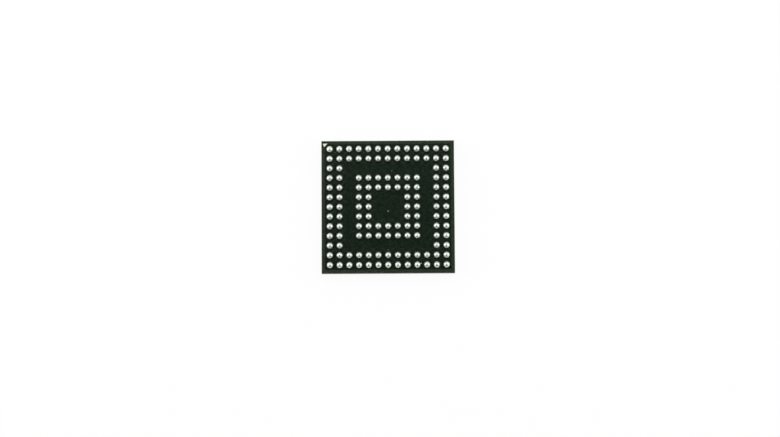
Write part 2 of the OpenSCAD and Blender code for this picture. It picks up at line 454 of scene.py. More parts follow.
@dataclass(frozen=True)
class MouldFinish:
    """Black epoxy mould compound: eroded on its face and scored by the saw on its sides."""

    name: str = "mould_compound_black"
    dark: Colour = (0.012, 0.012, 0.0125)
    light: Colour = (0.021, 0.021, 0.0215)
    roughness: Span = (0.55, 0.72)
    filler_per_mm: float = 26.0
    patch_per_mm: float = 6.0
    grain_per_mm: float = 22.0
    saw_per_mm: float = 1.5
    saw_stretch: Size = (1.0, 1.0, 34.0)
    depth_mm: float = 0.004

    def material(self) -> bpy.types.Material:
        """Makes the material, with filler grains in the resin and saw lines along the sides.

        Returns:
            The material.
        """
        g = ShaderGraph(self.name)
        filler = g.noise(self.filler_per_mm, detail=4)
        g.set(Base_Color=g.shades(filler, self.dark, self.light), IOR=RESIN_IOR)
        g.set(Roughness=g.between(g.noise(self.patch_per_mm), *self.roughness))
        saw = g.noise(self.saw_per_mm, detail=4, stretch=self.saw_stretch)
        grain = g.noise(self.grain_per_mm)
        both = g.add("ShaderNodeMath", {0: saw, 1: grain}, operation="ADD").outputs[0]
        g.set(Normal=g.bump(both, self.depth_mm))
        return g.material


@dataclass(frozen=True)
class LaminateFinish:
    """Sawn edge of the glass cloth laminate: pale bundles of fibre in resin."""

    name: str = "laminate_sawn"
    resin: Colour = (0.06, 0.062, 0.03)
    fibre: Colour = (0.2, 0.2, 0.13)
    roughness: Span = (0.45, 0.65)
    bundle_per_mm: float = 2.2
    bundle_stretch: Size = (1.0, 1.0, 7.0)
    strand_per_mm: float = 30.0
    strand_stretch: Size = (1.0, 1.0, 2.0)
    strand_share: float = 0.3
    depth_mm: float = 0.004

    def material(self) -> bpy.types.Material:
        """Makes the material, with fine strands laid over the bundles.

        Returns:
            The material.
        """
        g = ShaderGraph(self.name)
        bundles = g.noise(self.bundle_per_mm, detail=2, stretch=self.bundle_stretch)
        strands = g.noise(self.strand_per_mm, detail=2, stretch=self.strand_stretch)
        parts = {0: strands, 1: self.strand_share, 2: bundles}
        weave = g.add("ShaderNodeMath", parts, operation="MULTIPLY_ADD").outputs[0]
        g.set(Base_Color=g.shades(bundles, self.resin, self.fibre), IOR=RESIN_IOR)
        g.set(Roughness=g.between(strands, *self.roughness))
        g.set(Normal=g.bump(weave, self.depth_mm))
        return g.material


# ---------------------------------------------------------------- pieces


def add_object(name: str, data: bpy.types.ID) -> bpy.types.Object:
    """Puts a new object in the scene.

    Args:
        name: its name.
        data: its mesh, light or camera.

    Returns:
        The object.
    """
    made = bpy.data.objects.new(name, data)
    bpy.context.scene.collection.objects.link(made)
    return made


class MeshPiece:
    """Gathers points in millimetres and faces, and turns them into an object."""

    def __init__(self, name: str) -> None:
        """Starts an empty piece.

        Args:
            name: the piece's name.
        """
        self.name = name
        self.points: list[Place] = []
        self.faces: list[Face] = []
        self.slots: list[int] = []

    def point(self, x: float, y: float, z: float) -> int:
        """Adds a point and gives its number."""
        self.points.append((x, y, z))
        return len(self.points) - 1

    def face(self, corners: Face, slot: int = 0) -> None:
        """Adds a face over numbered points, with the number of its material."""
        self.faces.append(corners)
        self.slots.append(slot)

    def fan(self, tip: int, ring: list[int]) -> None:
        """Joins a tip to a ring that runs counter-clockwise as seen from the tip's side."""
        for i in range(len(ring)):
            self.face((tip, ring[i], ring[(i + 1) % len(ring)]))

    def wall(self, top: list[int], bottom: list[int], slot: int = 0) -> None:
        """Joins two loops with quads, which face out where the loops run counter-clockwise.

        Args:
            top: the points of the upper loop.
            bottom: as many points of the lower loop.
            slot: the number of its material.
        """
        for i in range(len(top)):
            j = (i + 1) % len(top)
            self.face((top[i], bottom[i], bottom[j], top[j]), slot)

    def dome(self, tip: int, rings: list[list[int]]) -> None:
        """Joins a tip to the rings under it.

        Args:
            tip: the highest point.
            rings: the rings, from the highest one down.
        """
        self.fan(tip, rings[0])
        for upper, lower in zip(rings, rings[1:]):
            self.wall(upper, lower)

    def build(self, materials: list[bpy.types.Material]) -> bpy.types.Object:
        """Makes the object, shaded smooth.

        Args:
            materials: its materials, in slot order.

        Returns:
            The object, which rides on the package.
        """
        mesh = bpy.data.meshes.new(self.name)
        mesh.from_pydata([(x * MM, y * MM, z * MM) for x, y, z in self.points], [], self.faces)
        for material in materials:
            mesh.materials.append(material)
        mesh.polygons.foreach_set("material_index", self.slots)
        mesh.polygons.foreach_set("use_smooth", [True] * len(mesh.polygons))
        mesh.update()
        piece = add_object(self.name, mesh)
        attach(piece, "root")
        return piece


class SheetPiece(MeshPiece):
    """A piece that makes each point once, so that all faces round it join there."""

    def __init__(self, name: str, top: Callable[[float, float], float]) -> None:
        """Starts an empty piece.

        Args:
            name: the piece's name.
            top: gives the height of its top face at a place.
        """
        super().__init__(name)
        self.top = top
        self.numbers: dict[tuple[int, int, float | None], int] = {}

    def at(self, x: float, y: float, z: float | None = None) -> int:
        """The number of the point at a place.

        Args:
            x: the place along X.
            y: the place along Y.
            z: its height, or None for the top face.

        Returns:
            The point's number.
        """
        key = (round(x * KEYS_PER_MM), round(y * KEYS_PER_MM), z)
        if key not in self.numbers:
            self.numbers[key] = self.point(x, y, self.top(x, y) if z is None else z)
        return self.numbers[key]

    def loop(self, outline: Outline, z: float | None = None) -> list[int]:
        """The numbers of the points along an outline at one height, or on the top face."""
        return [self.at(x, y, z) for x, y in outline]


class Coat(Enum):
    """What the printed mask lies on at a place, with the finish that it has there. Near the edges two
    finishes hold painted light: a painted sheen over the copper ring, and a painted highlight along the
    package edge.
    """

    LAMINATE = MaskFinish("mask_over_laminate", (0.0014, 0.0076, 0.0022), (0.0068, 0.0188, 0.0070))
    COPPER = MaskFinish("mask_over_copper", (0.0020, 0.0086, 0.0026), (0.0080, 0.0195, 0.0074))
    # Partly painted sheen: over the copper ring near the edges, the mask is painted much lighter than
    # copper alone makes it over the pads.
    RIM = MaskFinish("mask_over_rim_painted_sheen", (0.0180, 0.0280, 0.0145), (0.0275, 0.0430, 0.0225))
    # Painted highlight: a light band painted along the top's outer edge, standing in for the edge catching
    # the light.
    SAWN_EDGE = MaskFinish("mask_edge_painted_highlight", (0.048, 0.064, 0.040), (0.088, 0.110, 0.070), (0.5, 0.7))

    @property
    def slot(self) -> int:
        """The number of its material slot."""
        return list(Coat).index(self)


@dataclass
class SolderMask:
    """The printed mask over the balls' side, which rises over the copper and plugs the vias.

    Sizes are in millimetres.
    """

    sizes: PackageSizes
    grid: BallGrid
    # The copper that it covers, its plugs and its openings.
    pad_r: float = 0.26
    land_r: float = 0.125
    plug_r: float = 0.057
    neck_w: float = 0.1
    neck_sink: float = 0.02
    rim_inset: float = 0.04
    rim_w: float = 0.22
    rim_gap: float = 0.05
    plate_overlap: float = 0.03
    spot_r: float = 0.05
    spot_y: float = -0.36
    # How it rises over the copper and dips over the vias.
    relief: float = 0.006
    slope: float = 0.045
    dip: float = 0.006
    dip_r: float = 0.06
    # How finely it is meshed. The neck span is the share of a neck that has its own points.
    dip_steps: tuple[int, ...] = (6, 9, 12)
    slope_steps: int = 3
    opening_steps: int = 40
    land_steps: int = 24
    plug_steps: int = 16
    neck_span: Span = (0.3, 0.8)
    neck_steps: int = 12
    side_steps: int = 14
    mesh_step: float = 0.1
    patch_gap: float = 0.002
    opening_gap: float = 0.004

    @cached_property
    def pads(self) -> list[tuple[Point, Point]]:
        """The middle of each ball pad in millimetres, with the way that its neck runs."""
        p = self.sizes.pitch
        return [((c * p, r * p), self.grid.side(c, r).neck_way()) for c, r in self.grid.places()]

    @cached_property
    def lands(self) -> list[Point]:
        """The middle of each via land in millimetres."""
        return [(x * self.sizes.pitch, y * self.sizes.pitch) for x, y in sorted(self.grid.vias)]

    @cached_property
    def bare_mark(self) -> Triangle:
        """The part of the corner mark that the mask leaves bare."""
        return self.sizes.mark.grown(-self.plate_overlap)

    @cached_property
    def clear_w(self) -> float:
        """How far the corner without a copper ring reaches in from the package edges."""
        _, tip, inner = self.sizes.mark.corners
        return self.rim_gap + self.sizes.half_w + max(inner[0], -tip[1])

    @cached_property
    def lines(self) -> list[float]:
        """The lines between patches: the package edges, and halfway between the balls."""
        steps = [i - self.grid.reach - 0.5 for i in range(2 * self.grid.reach + 2)]
        return [-self.sizes.half_w, *(step * self.sizes.pitch for step in steps), self.sizes.half_w]

    @cached_property
    def slopes(self) -> list[float]:
        """Distances from the copper at which the slope beside it has points."""
        return spread(0.0, self.slope, self.slope_steps)

    @cached_property
    def dips(self) -> list[float]:
        """Radii at which a dip over a via has points."""
        return spread(0.0, self.dip_r, len(self.dip_steps))[1:]

    @cached_property
    def rims(self) -> list[float]:
        """Distances from the package edge at which the rim's slopes have points."""
        near = [self.rim_inset - d for d in self.slopes if d < self.rim_inset]
        return sorted(near) + [self.rim_inset + self.rim_w + d for d in self.slopes]

    def _from_rim(self, x: float, y: float) -> float:
        """Distance from the ring of copper, which stops short of the corner mark, below 0 over it.

        Args:
            x: the place along X.
            y: the place along Y.

        Returns:
            The distance in millimetres.
        """
        half = self.sizes.half_w
        ring = abs(max(abs(x), abs(y)) - (half - self.rim_inset - self.rim_w / 2)) - self.rim_w / 2
        return max(ring, self.clear_w - max(x + half, half - y))

    def _from_spot(self, x: float, y: float) -> float:
        """Distance from the middle of the test spot."""
        return math.hypot(x, y - self.spot_y)

    def _from_ball(self, x: float, y: float) -> float:
        """Distance from the middle of the nearest ball, endless where that place has none.

        Args:
            x: the place along X.
            y: the place along Y.

        Returns:
            The distance in millimetres.
        """
        p = self.sizes.pitch
        column, row = round(x / p), round(y / p)
        if not self.grid.has_ball(column, row):
            return math.inf
        return math.hypot(x - column * p, y - row * p)

    def _from_via(self, x: float, y: float) -> float:
        """Distance from the middle of the nearest via, endless where that place has none.

        Args:
            x: the place along X.
            y: the place along Y.

        Returns:
            The distance in millimetres.
        """
        p = self.sizes.pitch
        via = (math.floor(x / p) + 0.5, math.floor(y / p) + 0.5)
        if via not in self.grid.vias:
            return math.inf
        return math.hypot(x - via[0] * p, y - via[1] * p)

    def _from_neck(self, x: float, y: float) -> float:
        """Distance from the neck of the nearest ball, below 0 over it, endless on its other sides.

        Args:
            x: the place along X.
            y: the place along Y.

        Returns:
            The distance in millimetres.
        """
        p = self.sizes.pitch
        column, row = round(x / p), round(y / p)
        if not self.grid.has_ball(column, row):
            return math.inf
        dx, dy = x - column * p, y - row * p
        ex, ey = self.grid.side(column, row).neck_way()
        return abs(dx * ey - dy * ex) - self.neck_w / 2 if dx * ex + dy * ey > 0 else math.inf

    def distance(self, x: float, y: float) -> float:
        """Distance from the edge of the nearest copper, below 0 over copper.

        Args:
            x: the place along X.
            y: the place along Y.

        Returns:
            The distance in millimetres.
        """
        return min(
            self._from_rim(x, y),
            self.sizes.mark.distance(x, y),
            self._from_spot(x, y) - self.spot_r - self.plate_overlap,
            self._from_ball(x, y) - self.pad_r,
            self._from_neck(x, y),
            self._from_via(x, y) - self.land_r,
        )

    def height(self, x: float, y: float) -> float:
        """Height of the mask's top face.

        Args:
            x: the place along X.
            y: the place along Y.

        Returns:
            The height in millimetres.
        """
        off_copper = smooth_step(self.distance(x, y) / self.slope)
        off_via = smooth_step(self._from_via(x, y) / self.dip_r)
        return self.sizes.mask_top - self.relief * off_copper - self.dip * (1 - off_via)

    def _clear(self, x: float, y: float, gap: float = 0.0) -> bool:
        """Whether a place lies off the openings.

        Args:
            x: the place along X.
            y: the place along Y.
            gap: how far off it has to lie.

        Returns:
            True if it lies off all of them.
        """
        return (
            self._from_ball(x, y) >= self.sizes.opening_r + gap
            and self._from_spot(x, y) >= self.spot_r + gap
            and self.bare_mark.distance(x, y) > gap
        )

    def _coat(self, x: float, y: float) -> Coat:
        """What the mask lies on at a place, with the bands of painted light along the edges.

        Args:
            x: the place along X.
            y: the place along Y.

        Returns:
            The coat.
        """
        inward = self.sizes.half_w - max(abs(x), abs(y))
        # The outermost band gets the painted edge highlight.
        if inward < self.rim_inset:
            return Coat.SAWN_EDGE
        if self.distance(x, y) > self.slope / 2:
            return Coat.LAMINATE
        # Over the copper ring near the edges, the coat with the painted sheen.
        return Coat.RIM if inward < self.rim_inset + self.rim_w + self.slope else Coat.COPPER

    def _even(self, low: float, high: float) -> list[float]:
        """Evenly spaced values over the package, which meet every patch line.

        Args:
            low: the lowest value.
            high: the highest value.

        Returns:
            The values, both ends included.
        """
        values = []
        for a, b in zip(self.lines, self.lines[1:]):
            values += spread(a, b, max(1, round((b - a) / self.mesh_step)))[:-1]
        return [v for v in [*values, high] if low <= v <= high]

    def _circle_guides(self) -> list[Point]:
        """Points round the pads, the via lands and dips, and the test spot.

        Returns:
            The points.
        """
        points = []
        for centre, _ in self.pads:
            for d in self.slopes:
                points += circle(centre, self.pad_r + d, self.opening_steps)
        for centre in self.lands:
            for d in self.slopes:
                points += circle(centre, self.land_r + d, self.land_steps)
            for r, count in zip(self.dips, self.dip_steps):
                points += circle(centre, r, count)
        for d in self.slopes:
            points += circle((0.0, self.spot_y), self.spot_r + self.plate_overlap + d, self.land_steps)
        return points

    def _neck_guides(self) -> list[Point]:
        """Points along both sides of the necks.

        Returns:
            The points.
        """
        points = []
        for (x, y), (ex, ey) in self.pads:
            for share in spread(*self.neck_span, self.neck_steps)[1:-1]:
                along = self.sizes.via_reach * share
                for d in self.slopes:
                    for off in (-self.neck_w / 2 - d, self.neck_w / 2 + d):
                        points.append((x + ex * along - ey * off, y + ey * along + ex * off))
        return points

    def _rim_guides(self, even: list[float]) -> list[Point]:
        """Points along the rim's slopes, its two ends and the sides of the corner mark.

        Args:
            even: the evenly spaced values over the package.

        Returns:
            The points.
        """
        edges = [self.sizes.half_w - d for d in self.rims]
        points = []
        for e in edges:
            for v in even + edges + [-other for other in edges]:
                if abs(v) <= e:
                    points += [(v, e), (v, -e), (e, v), (-e, v)]
        for d in self.slopes:
            end = self.sizes.half_w - self.clear_w + d
            sides = self.sizes.mark.grown(d).sides()
            sides += [((-end, max(edges)), (-end, min(edges))), ((-max(edges), end), (-min(edges), end))]
            for (ax, ay), (bx, by) in sides:
                points += zip(spread(ax, bx, self.side_steps), spread(ay, by, self.side_steps))
        return points

    def _guides(self) -> list[Point]:
        """Points that the top face's mesh meets: along each slope, and evenly over the flat.

        Returns:
            The points.
        """
        even = self._even(-self.sizes.half_w, self.sizes.half_w)
        points = self._circle_guides() + self._neck_guides()
        points += [(x, y) for x in even for y in even]
        return points + self._rim_guides(even)

    def _edge(self, fixed: float, low: float, high: float, upright: bool) -> list[Point]:
        """Points along a patch's edge, the same for the patches on both sides of it.

        Args:
            fixed: where the edge lies across its run.
            low: where it starts.
            high: where it ends.
            upright: whether it runs along Y.

        Returns:
            The points from low up to, but without, high.
        """
        stops = set(self._even(low, high))
        stops |= {s * (self.sizes.half_w - d) for d in self.rims for s in (-1, 1)}
        for line in self.lines:
            crossing = (fixed, line) if upright else (line, fixed)
            if self._from_via(*crossing) < SAME_MM:
                radii = [self.land_r + d for d in self.slopes] + self.dips
                stops |= {line + s * r for r in radii for s in (-1, 1)}
        run = sorted(s for s in stops if low <= s < high - SAME_MM)
        run = [s for i, s in enumerate(run) if i == 0 or s - run[i - 1] > SAME_MM]
        return [(fixed, s) if upright else (s, fixed) for s in run]

    def _outline(self, x0: float, x1: float, y0: float, y1: float) -> Outline:
        """Points round a rectangle, which the patches beside it share.

        Args:
            x0: its lowest x.
            x1: its highest x.
            y0: its lowest y.
            y1: its highest y.

        Returns:
            The points, counter-clockwise.
        """
        near_and_right = self._edge(y0, x0, x1, False) + self._edge(x1, y0, y1, True)
        far = [*self._edge(y1, x0, x1, False), (x1, y1)]
        left = [*self._edge(x0, y0, y1, True), (x0, y1)]
        return near_and_right + far[:0:-1] + left[:0:-1]

    def _openings(self) -> list[Outline]:
        """The openings in the mask: one for each ball, the test spot and the corner mark.

        Returns:
            Their outlines.
        """
        openings = [circle(centre, self.sizes.opening_r, self.opening_steps) for centre, _ in self.pads]
        openings.append(circle((0.0, self.spot_y), self.spot_r, self.opening_steps))
        openings.append(list(self.bare_mark.corners))
        return openings

    def _patches(self) -> list[tuple[float, float, float, float]]:
        """The rectangles that the top face is meshed in.

        Returns:
            The lowest and highest x, then y, of each.
        """
        last = len(self.lines) - 1
        centre = self.grid.reach + 1
        # The corner mark lies over four patches and the test spot over two, so those are joined.
        joined = {(0, last - 2): (2, 2), (centre, centre - 1): (1, 2)}
        taken = {(i + a, j + b) for (i, j), (w, h) in joined.items() for a in range(w) for b in range(h)}
        single = {(i, j): (1, 1) for i in range(last) for j in range(last) if (i, j) not in taken}
        return [
            (self.lines[i], self.lines[i + w], self.lines[j], self.lines[j + h])
            for (i, j), (w, h) in {**joined, **single}.items()
        ]

    def _top(self, piece: SheetPiece, openings: list[Outline]) -> None:
        """Adds the top face.

        Args:
            piece: the mask so far.
            openings: the outlines of the openings in it.
        """
        patches = self._patches()
        loose: list[list[Point]] = [[] for _ in patches]
        gap = self.patch_gap
        for x, y in self._guides():
            for (x0, x1, y0, y1), found in zip(patches, loose):
                if x0 + gap < x < x1 - gap and y0 + gap < y < y1 - gap:
                    if self._clear(x, y, self.opening_gap):
                        found.append((x, y))
                    break
        for (x0, x1, y0, y1), found in zip(patches, loose):
            pierced = [o for o in openings if x0 < o[0][0] < x1 and y0 < o[0][1] < y1]
            verts, tris = triangulate([self._outline(x0, x1, y0, y1), *pierced], found)
            for tri in tris:
                corners = [verts[k] for k in tri]
                x, y = middle(corners)
                if not pierced or self._clear(x, y):
                    piece.face(tuple(piece.at(*c) for c in corners), self._coat(x, y).slot)

    def _copper(self) -> list[Outline]:
        """The copper under the mask.

        Returns:
            Its outlines. Where they overlap, the copper is one piece.
        """
        side = self.neck_w / 2
        start = self.pad_r - self.neck_sink
        end = self.sizes.via_reach - self.land_r + self.neck_sink
        neck = [(start, -side), (end, -side), (end, side), (start, side)]
        loops = []
        for (x, y), (ex, ey) in self.pads:
            loops.append(circle((x, y), self.pad_r, self.land_steps))
            loops.append([(x + ex * a - ey * b, y + ey * a + ex * b) for a, b in neck])
        loops += [circle(centre, self.land_r, self.land_steps) for centre in self.lands]
        loops.append(circle((0.0, self.spot_y), self.spot_r + self.plate_overlap, self.land_steps))
        loops.append(list(self.sizes.mark.corners))
        stop = self.sizes.half_w - self.clear_w
        outer = self.sizes.half_w - self.rim_inset
        inner = outer - self.rim_w
        loops.append(
            [(-outer, stop), (-outer, -outer), (outer, -outer), (outer, outer), (-stop, outer)]
            + [(-stop, inner), (inner, inner), (inner, -inner), (-inner, -inner), (-inner, stop)]
        )
        return loops

    def _underside(self, piece: SheetPiece, loops: list[Outline]) -> None:
        """Adds the underside, which steps up where it lies on copper.

        Args:
            piece: the mask so far.
            loops: the package's outline, and those of the openings, the plugs and the copper.
        """
        copper, core = self.sizes.copper_top, self.sizes.core_top
        verts, tris = triangulate(loops, [])
        height_beside: dict[tuple[int, int], float] = {}
        for tri in tris:
            x, y = middle([verts[k] for k in tri])
            if self._from_via(x, y) < self.plug_r or not self._clear(x, y):
                continue
            z = copper if self.distance(x, y) < 0 else core
            piece.face(tuple(piece.at(*verts[k], z) for k in reversed(tri)))
            height_beside.update({(tri[i - 1], tri[i]): z for i in range(3)})
        for (i, j), z in height_beside.items():
            if z == core and height_beside.get((j, i)) == copper:
                step = [tuple(verts[k]) for k in (i, j)]
                piece.face((*piece.loop(step, core), *piece.loop(step[::-1], copper)))

    def build(self) -> bpy.types.Object:
        """Meshes the mask as one closed solid and dresses it.

        Returns:
            The mask, in place of the frame's.
        """
        half, copper = self.sizes.half_w, self.sizes.copper_top
        piece = SheetPiece("solder_mask_printed", self.height)
        outline = self._outline(-half, half, -half, half)
        openings = self._openings()
        plugs = [circle(centre, self.plug_r, self.plug_steps) for centre in self.lands]
        self._top(piece, openings)
        for opening in openings:
            piece.wall(piece.loop(opening, copper), piece.loop(opening), Coat.COPPER.slot)
        for plug in plugs:
            end = piece.loop(plug, self.sizes.plug_low)
            piece.wall(piece.loop(plug, copper), end)
            piece.face(tuple(reversed(end)))
        piece.wall(piece.loop(outline), piece.loop(outline, self.sizes.core_top))
        self._underside(piece, [outline, *openings, *plugs, *self._copper()])
        printed = piece.build([coat.value.material() for coat in Coat])
        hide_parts("ball_side_solder_mask")
        return printed


@dataclass
class SolderBalls:
    """The reflowed balls, each a little different, with a foot that fills its mask opening."""

    sizes: PackageSizes
    grid: BallGrid
    around: int = 40
    down: int = 22
    unevenness: float = 0.02
    lumps: float = 1.4
    furthest: float = 50.0
    seed: int = 11

    def _ball(self, piece: MeshPiece, column: int, row: int, draw: random.Random) -> None:
        """Adds one ball to a piece.

        Args:
            piece: the row's piece.
            column: the ball's column.
            row: the ball's row.
            draw: the source of its unevenness.
        """
        s = self.sizes
        cx, cy, cz = column * s.pitch, row * s.pitch, s.mask_top + s.ball_rise
        shift = Vector([draw.uniform(-self.furthest, self.furthest) for _ in range(3)])
        falls = spread(0.0, math.pi - math.asin(s.opening_r / s.ball_r), self.down)[1:]
        rings = []
        for fall in falls:
            out = math.sin(fall)
            # The tip and the ring in the mask's opening keep their places.
            fade = out**0.5 if fall < falls[-1] else 0.0
            ring = []
            for turn in turns(self.around):
                way = Vector((out * math.cos(turn), out * math.sin(turn), math.cos(fall)))
                waver = 0.5 + 0.5 * noise.noise(way * self.lumps + shift)
                r = s.ball_r * (1 - self.unevenness * waver * fade)
                ring.append(piece.point(cx + way.x * r, cy + way.y * r, cz + way.z * r))
            rings.append(ring)
        piece.dome(piece.point(cx, cy, s.tip_z), rings)
        foot = [piece.point(*piece.points[n][:2], s.copper_top) for n in rings[-1]]
        piece.wall(rings[-1], foot)
        piece.face(tuple(reversed(foot)))

    def build(self, material: bpy.types.Material) -> list[bpy.types.Object]:
        """Makes one piece for each lettered row of balls.

        Args:
            material: the solder.

        Returns:
            The rows, first to last, in place of the frame's.
        """
        draw = random.Random(self.seed)
        rows = []
        for column, letter in zip(self.grid.span(), self.grid.letters):
            piece = MeshPiece(f"reflowed_balls_{letter}")
            for row in self.grid.span():
                if self.grid.has_ball(column, row):
                    self._ball(piece, column, row, draw)
            made = piece.build([material])
            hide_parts(f"balls_row_{letter}")
            rows.append(made)
        return rows


@dataclass
class ReflowTraces:
    """What reflow left behind: a bead of solder at the foot of one ball, and specks of dried flux.

    Sizes are in millimetres, ways in degrees from +X, and the specks' places in steps of the grid.
    """

    mask: SolderMask
    beaded_ball: tuple[int, int] = (3, -6)
    bead_way: float = 18.0
    bead_reach: float = 0.295
    bead_half: Size = (0.085, 0.05, 0.055)
    specks: tuple[Point, ...] = ((0.4, 3.73), (0.0, -4.45))
    speck_half: Size = (0.065, 0.045, 0.012)
    speck_way: float = 35.0
    around: int = 20
    down: int = 10
    unevenness: float = 0.3

    def _lump(self, piece: MeshPiece, centre: Place, half: Size, way: float) -> None:
        """Adds one closed, uneven lump to a piece.

        Args:
            piece: the piece that the lump belongs to.
            centre: its middle, in millimetres.
            half: half its length, width and height.
            way: the way its length runs, in degrees from +X.
        """
        cx, cy, cz = centre
        long_x, long_y = math.cos(math.radians(way)), math.sin(math.radians(way))
        rings = []
        for fall in spread(0.0, math.pi, self.down)[1:-1]:
            ring = []
            for turn in turns(self.around):
                waver = noise.noise(Vector((cx + math.cos(turn), cy + math.sin(turn), math.cos(fall))))
                out = math.sin(fall) * (1 + self.unevenness * waver)
                along, across = half[0] * out * math.cos(turn), half[1] * out * math.sin(turn)
                x, y = along * long_x - across * long_y, along * long_y + across * long_x
                ring.append(piece.point(cx + x, cy + y, cz + half[2] * math.cos(fall)))
            rings.append(ring)
        piece.dome(piece.point(cx, cy, cz + half[2]), rings)
        piece.fan(piece.point(cx, cy, cz - half[2]), rings[-1][::-1])

    def build(self, solder: bpy.types.Material, flux: bpy.types.Material) -> list[bpy.types.Object]:
        """Makes the bead and the specks.

        Args:
            solder: the bead's material.
            flux: the specks' material.

        Returns:
            The two pieces.
        """
        p = self.mask.sizes.pitch
        column, row = self.beaded_ball
        way = math.radians(self.bead_way)
        x = column * p + self.bead_reach * math.cos(way)
        y = row * p + self.bead_reach * math.sin(way)
        bead = MeshPiece("solder_bead_stray")
        self._lump(bead, (x, y, self.mask.height(x, y) + self.bead_half[2]), self.bead_half, self.bead_way)
        specks = MeshPiece("flux_specks_dried")
        for x, y in ((column * p, row * p) for column, row in self.specks):
            self._lump(specks, (x, y, self.mask.height(x, y)), self.speck_half, self.speck_way)
        made = [bead.build([solder]), specks.build([flux])]
        return made


# ---------------------------------------------------------------- the studio


@dataclass(frozen=True)
class Card:
    """A dim card on a dome over the chip, which the metal mirrors and the camera doesn't see.

    The radius is in metres and the angles are in degrees. The fall is measured from straight above,
    and the way from -Y towards +X.
    """

    name: str
    level: float
    fall: Span
    way: Span
    radius: float
    steps: int = 12

    def build(self) -> None:
        """Makes the card as part of a dome."""
        points = []
        for fall in map(math.radians, spread(*self.fall, self.steps)):
            out, z = math.sin(fall) * self.radius, math.cos(fall) * self.radius
            for way in map(math.radians, spread(*self.way, self.steps)):
                points.append((out * math.sin(way), -out * math.cos(way), z))
        row = self.steps + 1
        starts = [i * row + k for i in range(self.steps) for k in range(self.steps)]
        mesh = bpy.data.meshes.new(self.name)
        mesh.from_pydata(points, [], [(n, n + 1, n + row + 1, n + row) for n in starts])
        g = ShaderGraph(self.name)
        g.cover(g.add("ShaderNodeEmission", {"Strength": self.level}).outputs[0])
        mesh.materials.append(g.material)
        card = add_object(self.name, mesh)
        card.visible_camera = False
        card.visible_shadow = False


@dataclass(frozen=True)
class Lamp:
    """A soft square lamp that faces the chip, placed and sized in metres, with its power in watts."""

    name: str
    place: Place
    power: float
    size: float = 0.30

    def build(self) -> None:
        """Hangs the lamp."""
        data = bpy.data.lights.new(self.name, "AREA")
        data.shape = "SQUARE"
        data.size = self.size
        data.energy = self.power
        lamp = add_object(self.name, data)
        lamp.location = self.place
        lamp.rotation_euler = (-Vector(self.place)).to_track_quat("-Z", "Y").to_euler()


